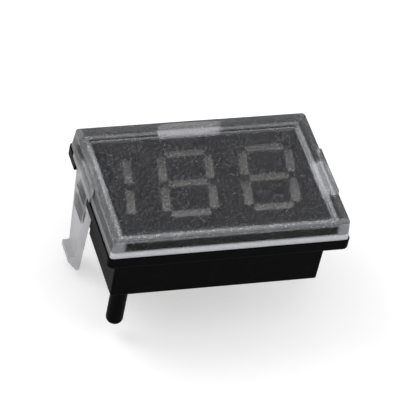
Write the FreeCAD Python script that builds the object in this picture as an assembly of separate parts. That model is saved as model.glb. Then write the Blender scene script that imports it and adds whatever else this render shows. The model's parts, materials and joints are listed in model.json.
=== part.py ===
import FreeCAD, Part
import math
import os

V = FreeCAD.Vector

# Dishwasher display panel: a clear frosted window cap with three snap clips sits on a black
# moulded housing. The housing holds a circuit board with a slotted light mask, and each slot of the
# mask is filled by a pale light bar. Millimetres. The origin is the centre of the flange underside,
# +Z comes out of the display face and +X runs along the row of digits.

# Window cap
window_length = 38.0
window_width = 25.4
window_corner = 0.6
skirt_height = 3.4
skirt_draft_inset = 0.25
skirt_wall = 2.2
window_top = 1.3
window_edge_round = 0.18
cavity_corner = 0.5
cavity_round = 0.4

# Pads on the skirt above the clips
pad_length = 10.2
pad_proud = 0.3
pad_height = 2.8
pad_round = 0.6

# Snap clips, measured down from the skirt underside
side_clip_root = 7.1
back_clip_root = 9.4
clip_taper = 3.0
clip_thickness = 1.4
clip_lean = 0.3
clip_shelf_depth = 14.9
clip_depth = 18.5
barb_proud = 0.8
barb_flat = 1.0
barb_tip = 0.35
barb_round = 0.3
clip_root_overlap = 0.6
left_clip_y = 4.7
right_clip_y = 0.0
pocket_depth = 0.4
pocket_margin = 0.9
pocket_top = 0.35
pocket_bar_top = 3.45
pocket_bar_bottom = 4.7
pocket_bottom = 7.4

# Housing flange
flange_proud = 0.25
flange_height = 2.1
flange_corner = 0.9
flange_round = 0.55
notch_side_gap = 0.4
notch_depth_gap = 0.6
notch_corner = 0.4

# Housing rim that stands up inside the window cap
rim_gap = 0.1
rim_wall = 0.6
mask_air_gap = 0.45
rim_corner = 0.4
rim_round = 0.45

# Housing box behind the flange
box_left_inset = 1.05
box_right_inset = 3.65
box_back_y = 7.6
box_depth = 6.1
box_draft_inset = 0.1
box_corner = 0.35
box_wall = 1.2
box_left_wall = 1.85
box_edge_round = 0.3
recess_gap = 0.2
shelf_thickness = 0.9
rib_width = 1.0
rib_reach = 1.2
rib_drop = 2.2
rib_spacing = 7.0

# Locating pin
pin_radius = 1.35
pin_inset = 2.3
pin_length = 7.8
pin_end_round = 1.0
pin_root_round = 0.4
post_size = 4.1

# Circuit board and light mask
board_gap = 0.1
board_thickness = 1.0
board_corner = 0.4
mask_ledge = 0.35
bead_length = 3.0
bead_gap = 0.05
bead_spacing = 16.0
mask_peg_radius = 0.6
mask_peg_gap = 0.1
mask_peg_head_radius = 1.0
mask_peg_head = 0.45
mask_peg_taper = 0.2

# Digits
digit_slant_deg = 10.0
digit_pitch = 13.15
tens_x = -3.7
digits_y = 0.2
digit_margin = 3.35
digit_half_width = 3.8
bar_thickness = 1.4
bar_length = 6.3
bar_end_gap = 1.4
bar_round = 0.45
bar_flare = 0.2
dot_side_margin = 1.05
dot_top_margin = 0.9
dot_radius = 0.35

# Light-emitting chips
chip_length = 1.0
chip_width = 0.5
chip_height = 0.3
chip_gap = 0.1

# Connector on the back of the board
connector_pins = 6
connector_pitch = 2.5
connector_end = 2.45
connector_width = 5.75
connector_wall = 0.8
connector_floor = 1.4
connector_height = 6.6
connector_x = -1.0
connector_y = 3.2
connector_key_width = 3.0
pin_thickness = 0.64
pin_below_rim = 0.9
pin_below_front = 0.1
pin_hole_gap = 0.08

# Driver chip, resistors and capacitor on the back of the board
driver_length = 10.0
driver_width = 4.0
driver_height = 1.5
driver_standoff = 0.15
driver_leads = 8
driver_lead_pitch = 1.27
driver_lead_width = 0.4
driver_lead_thickness = 0.2
driver_lead_reach = 1.0
driver_x = -4.0
driver_inset = 4.7
resistor_length = 2.0
resistor_width = 1.25
resistor_height = 0.5
resistor_pitch = 2.0
resistor_count = 3
resistor_x = 2.4
resistor_inset = 1.9
capacitor_radius = 2.0
capacitor_height = 4.4
capacitor_base = 4.4
capacitor_base_height = 0.5
capacitor_x = 10.6
capacitor_y = -1.5
capacitor_chamfer = 0.25

# Places worked out from the driving sizes
skirt_z = flange_height
window_z = skirt_z + skirt_height
cavity_z = window_z - window_top
mask_z = cavity_z - mask_air_gap
half_length = window_length / 2
half_width = window_width / 2
cavity_half_x = half_length - skirt_wall
cavity_half_y = half_width - skirt_wall
rim_half_x = cavity_half_x - rim_gap
rim_half_y = cavity_half_y - rim_gap
tray_half_x = rim_half_x - rim_wall
tray_half_y = rim_half_y - rim_wall
notch_wall = clip_thickness + notch_depth_gap
board_half_x = tray_half_x - board_gap
board_half_y = tray_half_y - board_gap
board_back = shelf_thickness
board_front = board_back + board_thickness
box_left = -half_length + box_left_inset
box_right = half_length - box_right_inset
box_front = -half_width
well_left = box_left + box_left_wall
well_right = box_right - box_wall
well_front = box_front + box_wall
well_back = box_back_y - box_wall
pin_x = box_left + pin_inset
pin_y = box_front + pin_inset
slant = math.tan(math.radians(digit_slant_deg))
bar_back = board_front + chip_height + chip_gap
bar_front = mask_z
digit_half_height = tray_half_y - digit_margin
bar_height = digit_half_height - bar_end_gap
dot_x = rim_half_x - rim_wall - dot_side_margin
dot_y = tray_half_y - dot_top_margin
driver_y = driver_inset - board_half_y
resistor_y = resistor_inset - board_half_y
DOWN = V(0, 0, -1)
UP = V(0, 0, 1)


def rounded_wire(points, radii):
    """A closed wire through the points, with a tangent arc of each corner's radius."""
    if not isinstance(radii, (list, tuple)):
        radii = [radii] * len(points)
    starts = []
    middles = []
    ends = []
    for index, corner in enumerate(points):
        before = (points[index - 1] - corner).normalize()
        after = (points[(index + 1) % len(points)] - corner).normalize()
        radius = radii[index]
        half_angle = before.getAngle(after) / 2
        reach = radius / math.tan(half_angle)
        starts.append(corner + before * reach)
        ends.append(corner + after * reach)
        bisector = (before + after).normalize()
        middles.append(corner + bisector * (radius / math.sin(half_angle) - radius))
    edges = []
    for index in range(len(points)):
        if radii[index] > 0:
            edges.append(Part.Arc(starts[index], middles[index], ends[index]).toShape())
        following = starts[(index + 1) % len(points)]
        if ends[index].distanceToPoint(following) > 1e-6:
            edges.append(Part.LineSegment(ends[index], following).toShape())
    return Part.Wire(edges)


def rectangle(x0, x1, y0, y1, z):
    """The four corners of a level rectangle."""
    return [V(x0, y0, z), V(x1, y0, z), V(x1, y1, z), V(x0, y1, z)]


def plate(points, radii, height):
    """A flat outline pulled straight up, or down where the height is negative."""
    return Part.Face(rounded_wire(points, radii)).extrude(V(0, 0, height))


def block(x0, x1, y0, y1, z0, z1):
    """A plain box between two corners."""
    return Part.makeBox(x1 - x0, y1 - y0, z1 - z0, V(x0, y0, z0))


def tapered(low_points, low_radius, high_points, high_radius):
    """A drafted block between a lower and an upper rounded outline."""
    low = rounded_wire(low_points, low_radius)
    high = rounded_wire(high_points, high_radius)
    return Part.makeLoft([low, high], True, True)


def level_edges(shape, z, inside=None):
    """The edges that lie at one height, less those that a test leaves out."""
    found = []
    for edge in shape.Edges:
        box = edge.BoundBox
        if abs(box.ZMin - z) < 1e-4 and abs(box.ZMax - z) < 1e-4:
            if inside is None or inside(edge.CenterOfMass):
                found.append(edge)
    return found


def save(shape, name):
    """Write one sub-part."""
    shape.exportStep("parts/" + name + ".step")


def turned(shape, angle, place):
    """A clip or pad made on the +X side, turned about Z and moved to its side."""
    copy = shape.copy()
    copy.rotate(V(0, 0, 0), UP, angle)
    copy.translate(place)
    return copy


def clip_sides():
    """Root width, turn about Z and root centre on the skirt, for each of the three clips."""
    return [
        (side_clip_root, 180, V(-half_length, left_clip_y, skirt_z)),
        (side_clip_root, 0, V(half_length, right_clip_y, skirt_z)),
        (back_clip_root, 90, V(0, half_width, skirt_z)),
    ]


def clip_pocket(root, top, bottom):
    """A shallow recess in the outer face of a clip arm, between two depths."""
    rate = clip_taper / clip_shelf_depth / 2
    high = root / 2 - pocket_margin - rate * top
    low = root / 2 - pocket_margin - rate * bottom
    floor = -pocket_depth - clip_lean * bottom / clip_shelf_depth
    points = [V(floor, -high, -top), V(floor, -low, -bottom), V(floor, low, -bottom), V(floor, high, -top)]
    face = Part.Face(rounded_wire(points, 0.25))
    return face.extrude(V(pocket_depth + barb_proud, 0, 0))


def clip_solid(root):
    """A tapered snap arm with an outward barb, hanging from the skirt at x = 0, z = 0."""
    top = clip_root_overlap
    side = [
        V(0, 0, top),
        V(0, 0, 0),
        V(-clip_lean, 0, -clip_shelf_depth),
        V(barb_proud, 0, -clip_shelf_depth),
        V(barb_proud, 0, -clip_shelf_depth - barb_flat),
        V(barb_tip - clip_thickness, 0, -clip_depth),
        V(-clip_thickness, 0, -clip_depth),
        V(-clip_thickness, 0, top),
    ]
    radii = [0, 0, barb_round, 0.1, barb_round, 0.12, 0.12, 0]
    profile = Part.Face(rounded_wire(side, radii))
    profile.translate(V(0, -root, 0))
    arm = profile.extrude(V(0, 2 * root, 0))
    rate = clip_taper / clip_shelf_depth / 2
    high = root / 2 + rate * top
    low = root / 2 - rate * clip_depth
    reach = 2 * clip_thickness
    outline = [V(-reach, -high, top), V(-reach, high, top), V(-reach, low, -clip_depth), V(-reach, -low, -clip_depth)]
    front = Part.Face(rounded_wire(outline, [0, 0, 0.5, 0.5]))
    arm = arm.common(front.extrude(V(2 * reach, 0, 0)))
    arm = arm.cut(clip_pocket(root, pocket_top, pocket_bar_top))
    return arm.cut(clip_pocket(root, pocket_bar_bottom, pocket_bottom))


def pad_solid():
    """The thicker pad on the skirt above a clip, with rounded top corners."""
    depth = skirt_wall / 2
    half = pad_length / 2
    points = [V(-depth, -half, 0), V(-depth, half, 0), V(-depth, half, pad_height), V(-depth, -half, pad_height)]
    face = Part.Face(rounded_wire(points, [0, 0, pad_round, pad_round]))
    return face.extrude(V(depth + pad_proud, 0, 0))


def display_window():
    """The frosted clear cap: a drafted skirt, a flat top, three pads and three snap clips."""
    inset = skirt_draft_inset
    low = rectangle(-half_length, half_length, -half_width, half_width, skirt_z)
    high = rectangle(inset - half_length, half_length - inset, inset - half_width, half_width - inset, window_z)
    cap = tapered(low, window_corner, high, window_corner)
    for root, angle, place in clip_sides():
        cap = cap.fuse(turned(pad_solid(), angle, place))
    cap = cap.removeSplitter()
    cap = cap.makeFillet(window_edge_round, level_edges(cap, window_z))
    cavity = rectangle(-cavity_half_x, cavity_half_x, -cavity_half_y, cavity_half_y, skirt_z)
    cavity_body = plate(cavity, cavity_corner, cavity_z - skirt_z)
    cavity_body = cavity_body.makeFillet(cavity_round, level_edges(cavity_body, cavity_z))
    cap = cap.cut(cavity_body)
    for root, angle, place in clip_sides():
        cap = cap.fuse(turned(clip_solid(root), angle, place))
    return cap.removeSplitter()


def flange_notch(root, angle, place):
    """The gap in the flange that one clip passes through, cut on the +X side and then turned."""
    half = root / 2 + notch_side_gap
    points = rectangle(-notch_wall, 4 * flange_proud, -half, half, -flange_height)
    cut = plate(points, [notch_corner, 0, 0, notch_corner], flange_height + 1)
    return turned(cut, angle, place)


def flange():
    """The flat flange under the window cap, with a notch at each clip and rounded lower edges."""
    reach_x = half_length + flange_proud
    reach_y = half_width + flange_proud
    ring = plate(rectangle(-reach_x, reach_x, -reach_y, reach_y, 0), flange_corner, flange_height)
    for root, angle, place in clip_sides():
        ring = ring.cut(flange_notch(root, angle, place))
    return ring.makeFillet(flange_round, level_edges(ring, 0))


def rim():
    """The dark rim that stands inside the window cap, around the light mask."""
    points = rectangle(-rim_half_x, rim_half_x, -rim_half_y, rim_half_y, 0)
    wall = plate(points, rim_corner, mask_z)
    return wall.makeFillet(rim_round, level_edges(wall, mask_z))


def box_shell():
    """The drafted box behind the flange, with the recess that clears the left clip."""
    inset = box_draft_inset
    low = rectangle(box_left + inset, box_right - inset, box_front + inset, box_back_y - inset, -box_depth)
    high = rectangle(box_left, box_right, box_front, box_back_y, flange_round)
    shell = tapered(low, box_corner, high, box_corner)
    shell = shell.makeFillet(box_edge_round, level_edges(shell, -box_depth))
    wall = -half_length + clip_thickness + recess_gap
    start = left_clip_y - side_clip_root / 2 - notch_side_gap
    shell = shell.cut(block(-half_length - 1, wall, start, box_back_y + 1, -box_depth - 1, 0))
    root, angle, place = clip_sides()[0]
    return shell.cut(flange_notch(root, angle, place))


def board_ribs():
    """Ribs on the left and front walls of the well, whose tops carry the board."""
    ribs = []
    for y in (-3.5, 1.0):
        ribs.append(block(well_left - 0.2, well_left + rib_reach, y, y + rib_width, -rib_drop, board_back))
    reach_y = -board_half_y + rib_reach
    for x in (-rib_spacing, 0, rib_spacing):
        ribs.append(block(x, x + rib_width, well_front - 0.2, reach_y, -rib_drop, board_back))
    return ribs


def locating_pin():
    """The round pin on the corner post, with a domed end."""
    bottom = -box_depth - pin_length
    side = [V(0, 0, -box_depth + 1), V(pin_radius, 0, -box_depth + 1), V(pin_radius, 0, bottom), V(0, 0, bottom)]
    half_profile = Part.Face(rounded_wire(side, [0, 0, pin_end_round, 0]))
    pin = half_profile.revolve(V(0, 0, 0), UP, 360)
    pin.translate(V(pin_x, pin_y, 0))
    return pin


def pin_flare():
    """The small flare where the pin leaves the box."""
    reach = pin_root_round
    base = Part.makeCone(pin_radius + reach, pin_radius, reach, V(pin_x, pin_y, -box_depth), DOWN)
    return base


def beads():
    """Four small beads on the long walls of the tray that hold the light mask down."""
    found = []
    for x in (-bead_spacing / 2, bead_spacing / 2):
        for side in (-1, 1):
            near = side * (tray_half_y + 0.2)
            far = side * (board_half_y - mask_ledge + bead_gap)
            low = mask_z - mask_ledge + bead_gap
            y0 = min(near, far)
            y1 = max(near, far)
            found.append(block(x - bead_length / 2, x + bead_length / 2, y0, y1, low, mask_z))
    return found


def housing():
    """The black moulding: flange, rim, tray for the board, open well, corner post and pin."""
    body = flange().fuse([rim(), box_shell()])
    tray = rectangle(-tray_half_x, tray_half_x, -tray_half_y, tray_half_y, board_back)
    body = body.cut(plate(tray, 0, mask_z))
    well = rectangle(well_left, well_right, well_front, well_back, -box_depth - 1)
    body = body.cut(plate(well, 0, box_depth + 1 + board_back))
    post = block(box_left + 0.5, box_left + post_size, box_front + 0.5, box_front + post_size, -box_depth, board_back)
    corner = [post] + board_ribs() + beads() + [locating_pin(), pin_flare()]
    return body.fuse(corner).removeSplitter()


def bar_outline(x, y, width, height, grow, z):
    """The slanted four-sided outline of one light bar."""
    points = []
    for side_x, side_y in ((-1, -1), (1, -1), (1, 1), (-1, 1)):
        corner_y = y + side_y * (height / 2 + grow)
        corner_x = x + side_x * (width / 2 + grow) + slant * (corner_y - digits_y)
        points.append(V(corner_x, corner_y, z))
    return points


def light_bar(x, y, width, height):
    """One drafted light bar, narrower at the board than at the face of the mask."""
    low = bar_outline(x, y, width, height, -bar_flare, bar_back)
    high = bar_outline(x, y, width, height, 0, bar_front)
    return tapered(low, bar_round - bar_flare, high, bar_round)


def digit_bars(centre_x):
    """The centre and size of each of the seven bars of one digit, before the slant."""
    column = digit_half_width
    row = digit_half_height
    return {
        "a": (centre_x, digits_y + row, bar_length, bar_thickness),
        "b": (centre_x + column, digits_y + row / 2, bar_thickness, bar_height),
        "c": (centre_x + column, digits_y - row / 2, bar_thickness, bar_height),
        "d": (centre_x, digits_y - row, bar_length, bar_thickness),
        "e": (centre_x - column, digits_y - row / 2, bar_thickness, bar_height),
        "f": (centre_x - column, digits_y + row / 2, bar_thickness, bar_height),
        "g": (centre_x, digits_y, bar_length, bar_thickness),
    }


def all_bars():
    """The bars of the three digits by node name. The first digit can only show a one."""
    bars = {}
    places = (("hundreds", tens_x - digit_pitch, "bc"), ("tens", tens_x, "abcdefg"), ("units", tens_x + digit_pitch, "abcdefg"))
    for digit, centre_x, letters in places:
        for letter in letters:
            bars["light_bar_" + digit + "_" + letter] = digit_bars(centre_x)[letter]
    return bars


def dot_solid():
    """The small round light pipe in the corner of the mask."""
    height = bar_front - bar_back
    return Part.makeCylinder(dot_radius, height, V(dot_x, dot_y, bar_back))


def peg_places():
    """The four places between the light bars where the mask is staked to the board."""
    units_x = tens_x + digit_pitch
    hundreds_x = tens_x - digit_pitch
    return [
        (hundreds_x + 2.6, digits_y + 4.1),
        (tens_x - 7.75, 3.1 - board_half_y),
        (units_x + 3.3, 1.8 - board_half_y),
        (units_x + 0.6, digits_y + digit_half_height / 2),
    ]


def chip_solid(x, y, upright):
    """One light-emitting chip on the front of the board."""
    size_x = chip_width if upright else chip_length
    size_y = chip_length if upright else chip_width
    return block(x - size_x / 2, x + size_x / 2, y - size_y / 2, y + size_y / 2, board_front, board_front + chip_height)


def bar_chips(bar):
    """The two chips under one light bar."""
    x, y, width, height = bar
    centre_x = x + slant * (y - digits_y)
    upright = height > width
    step = (height if upright else width) / 4
    chips = []
    for side in (-1, 1):
        if upright:
            chips.append(chip_solid(centre_x + slant * side * step, y + side * step, True))
        else:
            chips.append(chip_solid(centre_x + side * step, y, False))
    return chips


def light_mask(bars):
    """The dark slotted mask in front of the board, with staked pegs through the board."""
    points = rectangle(-board_half_x, board_half_x, -board_half_y, board_half_y, board_front)
    mask = plate(points, board_corner, mask_z - board_front)
    low = mask_z - mask_ledge
    for side in (-1, 1):
        near = side * (board_half_y - mask_ledge)
        far = side * (board_half_y + 1)
        mask = mask.cut(block(-board_half_x - 1, board_half_x + 1, min(near, far), max(near, far), low, mask_z + 1))
    for x, y, width, height in bars.values():
        throat = plate(bar_outline(x, y, width, height, -bar_flare, board_front), 0, bar_back - board_front)
        mask = mask.cut([light_bar(x, y, width, height), throat])
    mask = mask.cut(Part.makeCylinder(dot_radius, mask_z, V(dot_x, dot_y, 0)))
    half = chip_length / 2 + chip_gap
    low_half = chip_width / 2 + chip_gap
    mask = mask.cut(block(dot_x - half, dot_x + half, dot_y - low_half, dot_y + low_half, board_front, bar_back))
    for x, y in peg_places():
        shank = Part.makeCylinder(mask_peg_radius, board_thickness + 0.5, V(x, y, board_back))
        small = mask_peg_head_radius - mask_peg_taper
        head = Part.makeCone(small, mask_peg_head_radius, mask_peg_head, V(x, y, board_back - mask_peg_head))
        mask = mask.fuse([shank, head])
    return mask.removeSplitter()


def connector_pin_places():
    """The places of the connector pins along the row."""
    span = connector_pitch * (connector_pins - 1)
    return [connector_x - span / 2 + connector_pitch * number for number in range(connector_pins)]


def circuit_board():
    """The board, with holes for the mask pegs and the connector pins."""
    points = rectangle(-board_half_x, board_half_x, -board_half_y, board_half_y, board_back)
    board = plate(points, board_corner, board_thickness)
    for x, y in peg_places():
        hole = Part.makeCylinder(mask_peg_radius + mask_peg_gap, board_thickness, V(x, y, board_back))
        board = board.cut(hole)
    half = pin_thickness / 2 + pin_hole_gap
    for x in connector_pin_places():
        hole = block(x - half, x + half, connector_y - half, connector_y + half, board_back, board_front)
        board = board.cut(hole)
    return board


def connector_shell():
    """The open shroud of the connector, with a key slot in its long wall."""
    length = connector_pitch * (connector_pins - 1) + 2 * connector_end
    x0 = connector_x - length / 2
    x1 = connector_x + length / 2
    y0 = connector_y - connector_width / 2
    y1 = connector_y + connector_width / 2
    bottom = board_back - connector_height
    wall = connector_wall
    shell = plate(rectangle(x0, x1, y0, y1, bottom), 0.3, connector_height)
    inner = rectangle(x0 + wall, x1 - wall, y0 + wall, y1 - wall, bottom - 1)
    shell = shell.cut(plate(inner, 0, connector_height - connector_floor + 1))
    half = connector_key_width / 2
    for x in (x0 + length / 4, x1 - length / 4):
        shell = shell.cut(block(x - half / 2, x + half / 2, y0 - 1, y0 + wall + 0.1, bottom - 1, bottom + connector_height / 2))
    half_pin = pin_thickness / 2
    for x in connector_pin_places():
        hole = block(x - half_pin, x + half_pin, connector_y - half_pin, connector_y + half_pin, bottom, board_back + 1)
        shell = shell.cut(hole)
    return shell


def connector_pin_group():
    """The square pins of the connector, pointed at both ends, as separate solids."""
    half = pin_thickness / 2
    low = board_back - connector_height + pin_below_rim
    high = board_front - pin_below_front
    point = pin_thickness / 2
    pins = []
    for x in connector_pin_places():
        square = rectangle(x - half, x + half, connector_y - half, connector_y + half, low + point)
        tip = rectangle(x - half / 2, x + half / 2, connector_y - half / 2, connector_y + half / 2, low)
        shank = plate(square, 0, high - low - point)
        end = Part.makeLoft([rounded_wire(tip, 0), rounded_wire(square, 0)], True, True)
        pins.append(shank.fuse(end).removeSplitter())
    return Part.makeCompound(pins)


def driver_chip():
    """The moulded body of the driver chip, with a drafted waist."""
    half_x = driver_length / 2
    half_y = driver_width / 2
    z0 = board_back - driver_standoff - driver_height
    z1 = board_back - driver_standoff
    middle = (z0 + z1) / 2
    draft = 0.12

    def outline(inset, z):
        x = half_x - inset
        y = half_y - inset
        return rectangle(driver_x - x, driver_x + x, driver_y - y, driver_y + y, z)

    lower = tapered(outline(draft, z0), 0, outline(0, middle), 0)
    upper = tapered(outline(0, middle), 0, outline(draft, z1), 0)
    mark = Part.makeCylinder(0.4, 0.1, V(driver_x - half_x + 1.1, driver_y - half_y + 1.1, z0))
    return lower.fuse(upper).removeSplitter().cut(mark)


def driver_lead_group():
    """The bent gull-wing leads of the driver chip, as separate solids."""
    middle = board_back - driver_standoff - driver_height / 2
    half_y = driver_width / 2
    thick = driver_lead_thickness
    knee = driver_lead_reach * 0.45
    foot = driver_lead_reach
    path = [(0, 0), (knee, 0), (knee, 1), (foot, 1)]
    rise = board_back - middle - thick / 2
    leads = []
    for side in (-1, 1):
        for number in range(driver_leads):
            x = driver_x + driver_lead_pitch * (number - (driver_leads - 1) / 2)
            upper = [V(x, driver_y + side * (half_y + reach), middle + rise * up) for reach, up in path]
            start, bend, drop, end = upper
            half = thick / 2
            side_y = V(0, side * half, 0)
            side_z = V(0, 0, half)
            points = [
                start + side_z,
                bend + side_z - side_y,
                drop + side_z - side_y,
                end + side_z,
                end - side_z,
                drop - side_z + side_y,
                bend - side_z + side_y,
                start - side_z,
            ]
            face = Part.Face(rounded_wire(points, 0))
            face.translate(V(-driver_lead_width / 2, 0, 0))
            leads.append(face.extrude(V(driver_lead_width, 0, 0)))
    return Part.makeCompound(leads)


def resistor_group():
    """The row of small flat resistors, as separate solids."""
    resistors = []
    for number in range(resistor_count):
        x = resistor_x + resistor_pitch * number
        chip = block(x, x + resistor_width, resistor_y, resistor_y + resistor_length, board_back - resistor_height, board_back)
        resistors.append(chip)
    return Part.makeCompound(resistors)


def capacitor_can():
    """The round can of the capacitor, with the rolled groove near its base."""
    top = board_back - capacitor_base_height
    bottom = top - capacitor_height
    groove = 0.15
    side = [
        V(0, 0, top),
        V(capacitor_radius, 0, top),
        V(capacitor_radius, 0, top - 0.5),
        V(capacitor_radius - groove, 0, top - 0.8),
        V(capacitor_radius, 0, top - 1.1),
        V(capacitor_radius, 0, bottom + capacitor_chamfer),
        V(capacitor_radius - capacitor_chamfer, 0, bottom),
        V(0, 0, bottom),
    ]
    profile = Part.Face(rounded_wire(side, 0))
    can = profile.revolve(V(0, 0, 0), UP, 360)
    can.translate(V(capacitor_x, capacitor_y, 0))
    return can


def capacitor_base_plate():
    """The square plastic base of the capacitor, with two clipped corners."""
    half = capacitor_base / 2
    clip = 0.8
    z = board_back - capacitor_base_height
    points = [
        V(capacitor_x - half, capacitor_y - half + clip, z),
        V(capacitor_x - half + clip, capacitor_y - half, z),
        V(capacitor_x + half - clip, capacitor_y - half, z),
        V(capacitor_x + half, capacitor_y - half + clip, z),
        V(capacitor_x + half, capacitor_y + half, z),
        V(capacitor_x - half, capacitor_y + half, z),
    ]
    return plate(points, 0, capacitor_base_height)


def main():
    os.makedirs("parts", exist_ok=True)
    bars = all_bars()
    save(display_window(), "display_window")
    save(housing(), "housing")
    save(circuit_board(), "circuit_board")
    save(light_mask(bars), "light_mask")
    for name, bar in bars.items():
        save(light_bar(*bar), name)
    save(dot_solid(), "light_dot")
    for digit in ("hundreds", "tens", "units"):
        chips = []
        for name, bar in bars.items():
            if digit in name:
                chips += bar_chips(bar)
        save(Part.makeCompound(chips), "light_chips_" + digit)
    save(chip_solid(dot_x, dot_y, False), "light_chip_dot")
    save(connector_shell(), "connector_shell")
    save(connector_pin_group(), "connector_pins")
    save(driver_chip(), "driver_chip")
    save(driver_lead_group(), "driver_leads")
    save(resistor_group(), "resistors")
    save(capacitor_can(), "capacitor_can")
    save(capacitor_base_plate(), "capacitor_base")


main()
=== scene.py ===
import json
import bpy
from mathutils import Matrix, Vector

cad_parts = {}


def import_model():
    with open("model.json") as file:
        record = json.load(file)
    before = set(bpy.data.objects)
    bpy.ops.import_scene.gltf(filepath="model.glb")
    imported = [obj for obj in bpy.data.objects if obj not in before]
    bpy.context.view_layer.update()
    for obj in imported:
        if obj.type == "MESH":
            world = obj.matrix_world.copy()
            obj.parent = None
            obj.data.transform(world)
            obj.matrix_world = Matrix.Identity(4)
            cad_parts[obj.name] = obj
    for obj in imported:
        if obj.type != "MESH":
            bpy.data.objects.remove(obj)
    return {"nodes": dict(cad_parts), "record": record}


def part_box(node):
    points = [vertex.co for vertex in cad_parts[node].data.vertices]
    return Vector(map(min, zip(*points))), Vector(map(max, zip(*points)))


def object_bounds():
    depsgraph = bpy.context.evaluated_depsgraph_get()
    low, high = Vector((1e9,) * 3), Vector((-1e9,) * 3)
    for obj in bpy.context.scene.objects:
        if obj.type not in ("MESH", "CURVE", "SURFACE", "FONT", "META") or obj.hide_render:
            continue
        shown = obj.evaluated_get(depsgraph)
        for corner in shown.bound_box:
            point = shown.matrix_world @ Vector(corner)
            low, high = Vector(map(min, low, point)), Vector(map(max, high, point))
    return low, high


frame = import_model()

cad_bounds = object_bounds()
scene = bpy.context.scene
MM = 0.001

# The origin is the middle of the flange's underside, and the cap's cavity is given by half its size
FLANGE_TOP = 2.1 * MM
CAVITY_X = 16.8 * MM
CAVITY_Y = 10.5 * MM

# Zones of the cap by their place along X or Y: where each starts to show, and where it is full
BACK_BORDER = (10.6 * MM, 11.2 * MM)
LEFT_BORDER = (-17.5 * MM, -18.0 * MM)
FRONT_BORDER = (-11.2 * MM, -11.5 * MM)
BACK_WALL = (12.0 * MM, 12.3 * MM)
FRONT_WALL = (-12.0 * MM, -12.3 * MM)
CORNER_POST = (16.6 * MM, 17.2 * MM)

# The same by how far they lie outside the cavity, below the face, or in from the left clip's tip
BORDER = (0.2 * MM, 0.8 * MM)
OUTER_WALL = (1.7 * MM, 1.9 * MM)
FACE_SKIN = (0.15 * MM, 0.05 * MM)
LEFT_WALL = (1.3 * MM, 1.0 * MM)

# The milky strip above the flange, whose white is partly a painted highlight, and the lip below the face,
# with how softly each zone ends up and down
STRIP_HEIGHT = 0.9 * MM
STRIP_SOFT = 0.5 * MM
LIP_DEPTH = 0.45 * MM
LIP_SOFT = 0.25 * MM
WALL_SOFT = 0.2 * MM

# The pale ring on the face, which is painted light for the cavity's rim seen through it, and how it
# weakens towards the back
RING_MIDDLE_X = -0.46 * MM
RING_MIDDLE_Y = -0.825 * MM
RING_HALF_X = 17.14 * MM
RING_HALF_Y = 10.975 * MM
RING_HALF_WIDTH = 0.15 * MM
RING_SOFT = 0.40 * MM
RING_FADE = (8.0 * MM, 10.0 * MM)
RING_AT_BACK = 0.6

# The left and right clips, whose pockets get painted shade: which way out along X, and the middle along Y
CLIPS = ((-1.0, 4.7 * MM), (1.0, 0.0))
CLIP_OUT = (18.0 * MM, 18.2 * MM)

# A pocket's reach to each side of the clip's middle, full and ended, and its lowest and highest points
POCKET_REACH = (2.3 * MM, 2.5 * MM)
UPPER_POCKET = (-1.36 * MM, 1.8 * MM)
LOWER_POCKET = (-5.3 * MM, -2.54 * MM)
POCKET_SOFT = 0.1 * MM

# The sparkle of the frost, painted glints that also give its bump: cells a metre, and in cells how far a
# speck is full and where it ends
SPARKLE_SCALE = 3000.0
SPARKLE_RADIUS = (0.24, 0.48)
SPARKLE_FAINTEST = 0.15
SPARKLE_DEPTH = 0.03 * MM
SPARKLE_FOOT = 0.1 * MM
GLINT_PALENESS = 0.7

# How much of each zone of the cap is made pale (haze, though the ring's white is painted light and the
# strip's white partly a painted highlight), has more painted glints, or gets painted shade
RING_PAINTED_LIGHT = 0.29
HAZE_AND_PAINTED_LIGHT = {
    "strip": 0.88, "lip": 0.16, "left_wall": 0.03, "post": 0.28,
    "front_border": 0.19, "left_border": 0.15, "border": 0.055,
}
SPARKLE = 0.11
EXTRA_SPARKLE = {"ring": 0.42, "border": 0.10, "lip": 0.30}
PAINTED_SHADE = {"left_wall": 0.66, "back_border": 0.42, "back_wall": 0.65}

# The strip's strength off the front wall, its strength between the painted glints' specks, and the sparkle
# where it is full
STRIP_ELSEWHERE = 0.35
STRIP_BETWEEN_SPECKS = 0.78
STRIP_FULL_AT = 0.8

# The clear plastic of the cap, and the colours that it is blended from: its own clear tints, the painted
# glints' white, the painted shade's dark grey, and the white of the haze and painted light
CAP_IOR = 1.22
CAP_ROUGHNESS = 0.33
CLIP_COLOUR = (0.46, 0.46, 0.475)
CAP_COLOUR = (0.56, 0.56, 0.585)
GLINT_COLOUR = (0.98, 0.98, 1.0)
PAINTED_SHADE_COLOUR = (0.10, 0.10, 0.105)
HAZE_AND_PAINTED_LIGHT_COLOUR = (0.78, 0.79, 0.82)

# The light bars: how much brighter low on a bar, low on a digit and at the digit's foot
BAR_DARK = (0.11, 0.112, 0.098)
BAR_LIGHT = (0.40, 0.405, 0.345)
BAR_ROUGHNESS = 0.55
BAR_ENDS = (0.05, 0.95)
BAR_RISE = 0.5
DIGIT_ENDS = (-7.5 * MM, 7.5 * MM)
DIGIT_RISE = (0.5, 0.1)
DIGIT_FOOT = (-7.2 * MM, -5.4 * MM)
FOOT_RISE = 0.35
BAR_MOTTLE = 0.1
BAR_MOTTLE_SCALE = 2500.0

# The span that most of a noise value lies in, and the layers of a fine noise
NOISE_SPAN = (0.3, 0.7)
FINE_DETAIL = 2.0

# The camera, fitted to the photograph's edges: eye in mm, line of sight, its level direction, focal length
EYE = (-139.176, -313.511, 318.300)
SIGHT = (0.298200, 0.667646, -0.682148)
LEVEL = (0.951601, -0.264376, 0.156721)
FOCAL_PIXELS = 3031.165
IMAGE_PIXELS = 420.0
SENSOR_MM = 36.0

CLIP_START = 0.01
CLIP_END = 20.0

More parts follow.
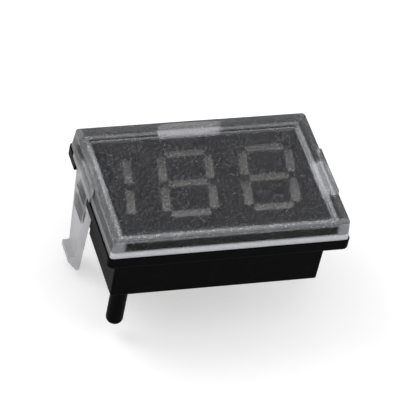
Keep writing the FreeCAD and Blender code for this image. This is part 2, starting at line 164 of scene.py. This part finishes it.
# The studio: the sky's strength for light and for sight, the floor, and each lamp's place, size and watts
SKY_LIGHT = 0.80
SKY_SEEN = 1.0
FLOOR_GREY = 0.86
FLOOR_ROUGHNESS = 0.9
FLOOR_GLOW = 0.32
FLOOR_REACH = 3.0
FLOOR_DROP = 0.1 * MM
KEY_LAMP = ((-0.55, 0.35, 0.75), 0.5, 2.2)
FILL_LAMP = ((0.5, -0.6, 0.6), 0.6, 0.8)


def node_material(name):
    """A new node material with its output, principled shader and object coordinates."""
    material = bpy.data.materials.new(name)
    material.use_nodes = True
    tree = material.node_tree
    tree.nodes.clear()
    output = tree.nodes.new("ShaderNodeOutputMaterial")
    shader = tree.nodes.new("ShaderNodeBsdfPrincipled")
    tree.links.new(shader.outputs["BSDF"], output.inputs["Surface"])
    place = tree.nodes.new("ShaderNodeTexCoord")
    return material, tree, shader, place.outputs["Object"]


def noise(tree, place, scale, detail=3.0, rough=0.55):
    """A noise value at a scale in cycles a metre."""
    node = tree.nodes.new("ShaderNodeTexNoise")
    node.inputs["Scale"].default_value = scale
    node.inputs["Detail"].default_value = detail
    node.inputs["Roughness"].default_value = rough
    tree.links.new(place, node.inputs["Vector"])
    return node.outputs["Fac"]


def remap(tree, value, low, high, to_low, to_high):
    """A value carried from one range to another, and held inside it."""
    node = tree.nodes.new("ShaderNodeMapRange")
    numbers = {"From Min": low, "From Max": high, "To Min": to_low, "To Max": to_high}
    for name, number in numbers.items():
        node.inputs[name].default_value = number
    tree.links.new(value, node.inputs["Value"])
    return node.outputs["Result"]


def maths(tree, kind, first, second):
    """One sum on two values, either of which may be a plain number."""
    node = tree.nodes.new("ShaderNodeMath")
    node.operation = kind
    for socket, value in zip(node.inputs, (first, second)):
        if isinstance(value, (int, float)):
            socket.default_value = value
        else:
            tree.links.new(value, socket)
    return node.outputs[0]


def product(tree, first, *others):
    """Values multiplied together, from left to right."""
    for other in others:
        first = maths(tree, "MULTIPLY", first, other)
    return first


def total(tree, first, *others):
    """Values added together, from left to right."""
    for other in others:
        first = maths(tree, "ADD", first, other)
    return first


def largest(tree, first, *others):
    """The largest of some values."""
    for other in others:
        first = maths(tree, "MAXIMUM", first, other)
    return first


def distance(tree, value, middle=0.0):
    """How far a value lies from a middle, either way."""
    return maths(tree, "ABSOLUTE", maths(tree, "SUBTRACT", value, middle), 0.0)


def past_frame(tree, across, half_across, deep, half_deep):
    """How far a place lies outside a rectangle, and negative inside it."""
    beside = maths(tree, "SUBTRACT", across, half_across)
    beyond = maths(tree, "SUBTRACT", deep, half_deep)
    return largest(tree, beside, beyond)


def rising(tree, value, ends):
    """Nought at the first end, one at the second."""
    return remap(tree, value, *ends, 0.0, 1.0)


def band(tree, value, start, end, soft):
    """One between two values in metres, fading over a soft edge outside them, and nought beyond."""
    rise = remap(tree, value, start - soft, start, 0.0, 1.0)
    fall = remap(tree, value, end, end + soft, 1.0, 0.0)
    return product(tree, rise, fall)


def tint(tree, value, dark, light):
    """A colour between two plain ones."""
    node = tree.nodes.new("ShaderNodeMix")
    node.data_type = "RGBA"
    node.inputs[6].default_value = (*dark, 1.0)
    node.inputs[7].default_value = (*light, 1.0)
    tree.links.new(value, node.inputs[0])
    return node.outputs[2]


def blended(tree, share, first, second):
    """A colour carried from a linked one towards a plain one."""
    node = tree.nodes.new("ShaderNodeMix")
    node.data_type = "RGBA"
    tree.links.new(share, node.inputs[0])
    tree.links.new(first, node.inputs[6])
    node.inputs[7].default_value = (*second, 1.0)
    return node.outputs[2]


def bump(tree, shader, height, strength, depth):
    """A bump on a shader, with its depth in metres."""
    node = tree.nodes.new("ShaderNodeBump")
    node.inputs["Strength"].default_value = strength
    node.inputs["Distance"].default_value = depth
    tree.links.new(height, node.inputs["Height"])
    tree.links.new(node.outputs["Normal"], shader.inputs["Normal"])


def moulded(name, dark, light, rough, specular=0.5):
    """Moulded plastic: slight mottling, a fine grain in the gloss and a shallow bump."""
    mottle_scale = 700.0
    grain_scale = 9000.0
    grain_strength = 0.5
    grain_depth = 0.01 * MM
    uneven = 0.07
    material, tree, shader, place = node_material(name)
    mottle = rising(tree, noise(tree, place, mottle_scale), NOISE_SPAN)
    tree.links.new(tint(tree, mottle, dark, light), shader.inputs["Base Color"])
    fine = noise(tree, place, grain_scale, FINE_DETAIL)
    gloss = remap(tree, fine, *NOISE_SPAN, rough - uneven, rough + uneven)
    tree.links.new(gloss, shader.inputs["Roughness"])
    shader.inputs["Specular IOR Level"].default_value = specular
    bump(tree, shader, fine, grain_strength, grain_depth)
    return material


def metal(name, dark, light, rough):
    """Bare metal with faint mottling and uneven gloss."""
    mottle_scale = 1500.0
    grain_scale = 6000.0
    grain_strength = 0.3
    grain_depth = 0.004 * MM
    uneven = 0.06
    material, tree, shader, place = node_material(name)
    mottle = rising(tree, noise(tree, place, mottle_scale), NOISE_SPAN)
    tree.links.new(tint(tree, mottle, dark, light), shader.inputs["Base Color"])
    shader.inputs["Metallic"].default_value = 1.0
    fine = noise(tree, place, grain_scale, FINE_DETAIL)
    gloss = remap(tree, fine, *NOISE_SPAN, rough - uneven, rough + uneven)
    tree.links.new(gloss, shader.inputs["Roughness"])
    bump(tree, shader, fine, grain_strength, grain_depth)
    return material


def cap_zones(tree, x, y, z):
    """The parts of the cap's surface that look different by haze, painted light or painted shade, each one
    inside and nought outside.
    """
    low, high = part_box("display_window")
    face = high[2]
    along = distance(tree, x)
    edge = past_frame(tree, along, CAVITY_X, distance(tree, y), CAVITY_Y)
    on_face = remap(tree, z, face - FACE_SKIN[0], face - FACE_SKIN[1], 0.0, 1.0)
    side = product(tree, maths(tree, "SUBTRACT", 1.0, on_face), rising(tree, edge, OUTER_WALL))
    upright = band(tree, z, FLANGE_TOP, face, WALL_SOFT)

    ring_x = distance(tree, x, RING_MIDDLE_X)
    ring_y = distance(tree, y, RING_MIDDLE_Y)
    ring_edge = past_frame(tree, ring_x, RING_HALF_X, ring_y, RING_HALF_Y)
    ring = band(tree, ring_edge, -RING_HALF_WIDTH, RING_HALF_WIDTH, RING_SOFT)
    ring_fade = remap(tree, y, *RING_FADE, 1.0, RING_AT_BACK)

    back_border = product(tree, rising(tree, y, BACK_BORDER), on_face)
    border = product(tree, rising(tree, edge, BORDER), on_face)
    strip = band(tree, z, FLANGE_TOP, FLANGE_TOP + STRIP_HEIGHT, STRIP_SOFT)
    strip_fade = remap(tree, y, FRONT_WALL[1], FRONT_WALL[0], 1.0, STRIP_ELSEWHERE)
    front_wall = product(tree, rising(tree, y, FRONT_WALL), side)
    left_wall = remap(tree, x, low[0] + LEFT_WALL[0], low[0] + LEFT_WALL[1], 0.0, 1.0)
    return {
        "ring": product(tree, ring, on_face, ring_fade),
        "border": largest(tree, maths(tree, "SUBTRACT", border, back_border), 0.0),
        "back_border": back_border,
        "left_border": product(tree, rising(tree, x, LEFT_BORDER), on_face),
        "front_border": product(tree, rising(tree, y, FRONT_BORDER), on_face),
        "back_wall": product(tree, rising(tree, y, BACK_WALL), side),
        "left_wall": product(tree, left_wall, side, upright),
        "post": product(tree, rising(tree, along, CORNER_POST), front_wall, upright),
        "strip": product(tree, strip, side, strip_fade),
        "lip": product(tree, band(tree, z, face - LIP_DEPTH, face, LIP_SOFT), side),
    }


def cap_sparkle(tree, place, above_flange):
    """Small bright specks of uneven strength, on the cap but not on its clips: painted glints, and the
    height of the frost's bump.
    """
    cells = tree.nodes.new("ShaderNodeTexVoronoi")
    cells.inputs["Scale"].default_value = SPARKLE_SCALE
    tree.links.new(place, cells.inputs["Vector"])
    chance = tree.nodes.new("ShaderNodeSeparateXYZ")
    tree.links.new(cells.outputs["Color"], chance.inputs[0])
    dots = remap(tree, cells.outputs["Distance"], *SPARKLE_RADIUS, 1.0, 0.0)
    strength = remap(tree, chance.outputs[0], 0.0, 1.0, SPARKLE_FAINTEST, 1.0)
    return product(tree, dots, strength, above_flange)


def clip_pocket_shade(tree, x, y, z):
    """One on the pockets of the left and right clips, where shade is painted."""
    upper = band(tree, z, *UPPER_POCKET, POCKET_SOFT)
    lower = band(tree, z, *LOWER_POCKET, POCKET_SOFT)
    found = []
    for way, middle in CLIPS:
        reached = remap(tree, x, way * CLIP_OUT[0], way * CLIP_OUT[1], 0.0, 1.0)
        inside = remap(tree, distance(tree, y, middle), *POCKET_REACH, 1.0, 0.0)
        found.append(product(tree, reached, inside))
    return product(tree, largest(tree, *found), largest(tree, upper, lower))


def frosted():
    """The clear cap: a sparkling frost of painted glints, a pale ring of painted light on its face,
    painted shade on its clips' pockets, its left and back walls and the back border of its face, and a
    milky foot to its skirt that is partly a painted highlight.
    """
    material, tree, shader, place = node_material("frosted_cap")
    shader.inputs["Transmission Weight"].default_value = 1.0
    shader.inputs["IOR"].default_value = CAP_IOR
    shader.inputs["Roughness"].default_value = CAP_ROUGHNESS
    axes = tree.nodes.new("ShaderNodeSeparateXYZ")
    tree.links.new(place, axes.inputs[0])
    x, y, z = axes.outputs
    zones = cap_zones(tree, x, y, z)
    above_flange = remap(tree, z, FLANGE_TOP - SPARKLE_FOOT, FLANGE_TOP, 0.0, 1.0)
    sparkle = cap_sparkle(tree, place, above_flange)
    bump(tree, shader, sparkle, 1.0, SPARKLE_DEPTH)

    strip_grain = remap(tree, sparkle, 0.0, STRIP_FULL_AT, STRIP_BETWEEN_SPECKS, 1.0)
    zones["strip"] = product(tree, zones["strip"], strip_grain)
    # Painted light: the pale ring on the face; the strip's milky white is partly a painted highlight
    haze_and_painted_light_share = product(tree, zones["ring"], RING_PAINTED_LIGHT)
    for name, share in HAZE_AND_PAINTED_LIGHT.items():
        haze_and_painted_light_share = largest(tree, haze_and_painted_light_share, product(tree, zones[name], share))
    # Painted glints: pale white mixed in at the specks, more in the ring, the border and the lip
    painted_glints = product(tree, sparkle, SPARKLE)
    for name, share in EXTRA_SPARKLE.items():
        painted_glints = total(tree, painted_glints, product(tree, zones[name], share, sparkle))

    # Painted shade: the clips' pockets, the left and back walls and the back border of the face are
    # darkened towards a dark grey
    dark = clip_pocket_shade(tree, x, y, z)
    for name, share in PAINTED_SHADE.items():
        dark = largest(tree, dark, product(tree, zones[name], share))
    clear = tint(tree, above_flange, CLIP_COLOUR, CAP_COLOUR)
    # Painted glints: the cap's colour is paled at the specks
    clear = blended(tree, product(tree, sparkle, GLINT_PALENESS), clear, GLINT_COLOUR)
    tree.links.new(blended(tree, dark, clear, PAINTED_SHADE_COLOUR), shader.inputs["Base Color"])

    # A pale matte white for the haze, the painted light and the painted glints
    spread = tree.nodes.new("ShaderNodeBsdfDiffuse")
    spread.inputs["Color"].default_value = (*HAZE_AND_PAINTED_LIGHT_COLOUR, 1.0)
    surface = tree.nodes.new("ShaderNodeMixShader")
    tree.links.new(total(tree, haze_and_painted_light_share, painted_glints), surface.inputs[0])
    tree.links.new(shader.outputs["BSDF"], surface.inputs[1])
    tree.links.new(spread.outputs["BSDF"], surface.inputs[2])
    output = next(node for node in tree.nodes if node.type == "OUTPUT_MATERIAL")
    tree.links.new(surface.outputs[0], output.inputs["Surface"])
    return material


def milky():
    """The pale resin of the light bars, brighter low on each bar and low on each digit."""
    material, tree, shader, place = node_material("light_bar")
    within_bar = tree.nodes.new("ShaderNodeSeparateXYZ")
    tree.links.new(tree.nodes.new("ShaderNodeTexCoord").outputs["Generated"], within_bar.inputs[0])
    within_panel = tree.nodes.new("ShaderNodeSeparateXYZ")
    tree.links.new(place, within_panel.inputs[0])
    panel_y = within_panel.outputs[1]
    uneven = noise(tree, place, BAR_MOTTLE_SCALE)
    mottle = remap(tree, uneven, *NOISE_SPAN, -BAR_MOTTLE, BAR_MOTTLE)
    in_bar = remap(tree, within_bar.outputs[1], *BAR_ENDS, BAR_RISE, 0.0)
    in_digit = remap(tree, panel_y, *DIGIT_ENDS, *DIGIT_RISE)
    in_foot = remap(tree, panel_y, *DIGIT_FOOT, FOOT_RISE, 0.0)
    level = total(tree, total(tree, in_bar, in_digit), total(tree, in_foot, mottle))
    tree.links.new(tint(tree, level, BAR_DARK, BAR_LIGHT), shader.inputs["Base Color"])
    shader.inputs["Roughness"].default_value = BAR_ROUGHNESS
    return material


MATERIALS = {
    "frosted_clear": frosted(),
    "black_housing": moulded(
        "black_housing", (0.0010, 0.0010, 0.0011), (0.0022, 0.0022, 0.0024), 0.45, specular=0.02),
    "mask_black": moulded("mask_black", (0.006, 0.005, 0.010), (0.010, 0.009, 0.015), 0.6, specular=0.1),
    "light_bar": milky(),
    "chip_resin": moulded("chip_resin", (0.55, 0.52, 0.22), (0.66, 0.62, 0.30), 0.3),
    "board_green": moulded("board_green", (0.014, 0.09, 0.035), (0.022, 0.13, 0.05), 0.35),
    "connector_white": moulded("connector_white", (0.68, 0.66, 0.59), (0.76, 0.74, 0.67), 0.45),
    "tinned_metal": metal("tinned_metal", (0.62, 0.62, 0.60), (0.74, 0.74, 0.72), 0.3),
    "chip_black": moulded("chip_black", (0.016, 0.016, 0.016), (0.026, 0.026, 0.026), 0.5),
    "can_metal": metal("can_metal", (0.62, 0.62, 0.63), (0.72, 0.72, 0.73), 0.35),
}

for part in frame["record"]["subparts"]:
    item = frame["nodes"][part["node"]]
    item.data.materials.clear()
    item.data.materials.append(MATERIALS[part["material_slot"]])


def camera():
    """The photograph's viewpoint: high over the front left corner, with the camera rolled."""
    sight = Vector(SIGHT).normalized()
    level = Vector(LEVEL)
    across = (level - sight * level.dot(sight)).normalized()
    up = across.cross(sight)
    data = bpy.data.cameras.new("camera")
    data.sensor_fit = "HORIZONTAL"
    data.sensor_width = SENSOR_MM
    data.lens = FOCAL_PIXELS / IMAGE_PIXELS * SENSOR_MM
    data.clip_start = CLIP_START
    data.clip_end = CLIP_END
    item = bpy.data.objects.new("camera", data)
    scene.collection.objects.link(item)
    turn = Matrix((across, up, -sight)).transposed()
    item.matrix_world = Matrix.Translation(Vector(EYE) * MM) @ turn.to_4x4()
    scene.camera = item


def area_light(name, place, size, power):
    """A square soft box that faces the panel."""
    data = bpy.data.lights.new(name, "AREA")
    data.shape = "SQUARE"
    data.size = size
    data.energy = power
    item = bpy.data.objects.new(name, data)
    item.location = place
    item.rotation_euler = (-Vector(place)).to_track_quat("-Z", "Y").to_euler()
    scene.collection.objects.link(item)


def seen_ray(tree):
    """One for rays that look, straight or by mirror or glass, and nought for those that light things."""
    path = tree.nodes.new("ShaderNodeLightPath")
    kinds = ("Is Camera Ray", "Is Glossy Ray", "Is Transmission Ray")
    return largest(tree, *(path.outputs[kind] for kind in kinds))


def world():
    """An even pale studio, white where it is seen."""
    sky = bpy.data.worlds.new("studio")
    sky.use_nodes = True
    scene.world = sky
    tree = sky.node_tree
    back = tree.nodes["Background"]
    back.inputs["Color"].default_value = (1.0, 1.0, 1.0, 1.0)
    tree.links.new(remap(tree, seen_ray(tree), 0.0, 1.0, SKY_LIGHT, SKY_SEEN), back.inputs["Strength"])


def floor():
    """A wide pale floor just under the clip tips, which keeps the panel's shadow."""
    height = cad_bounds[0][2] - FLOOR_DROP
    mesh = bpy.data.meshes.new("floor")
    signs = ((-1.0, -1.0), (1.0, -1.0), (1.0, 1.0), (-1.0, 1.0))
    corners = [(right * FLOOR_REACH, back * FLOOR_REACH, height) for right, back in signs]
    mesh.from_pydata(corners, [], [(0, 1, 2, 3)])
    item = bpy.data.objects.new("floor", mesh)
    scene.collection.objects.link(item)
    material, tree, shader, _ = node_material("floor")
    shader.inputs["Base Color"].default_value = (FLOOR_GREY, FLOOR_GREY, FLOOR_GREY, 1.0)
    shader.inputs["Roughness"].default_value = FLOOR_ROUGHNESS
    shader.inputs["Specular IOR Level"].default_value = 0.0
    shader.inputs["Emission Color"].default_value = (1.0, 1.0, 1.0, 1.0)
    glow = remap(tree, seen_ray(tree), 0.0, 1.0, 0.0, FLOOR_GLOW)
    tree.links.new(glow, shader.inputs["Emission Strength"])
    mesh.materials.append(material)


camera()
world()
floor()
area_light("key", *KEY_LAMP)
area_light("fill", *FILL_LAMP)
scene.view_settings.view_transform = "Standard"
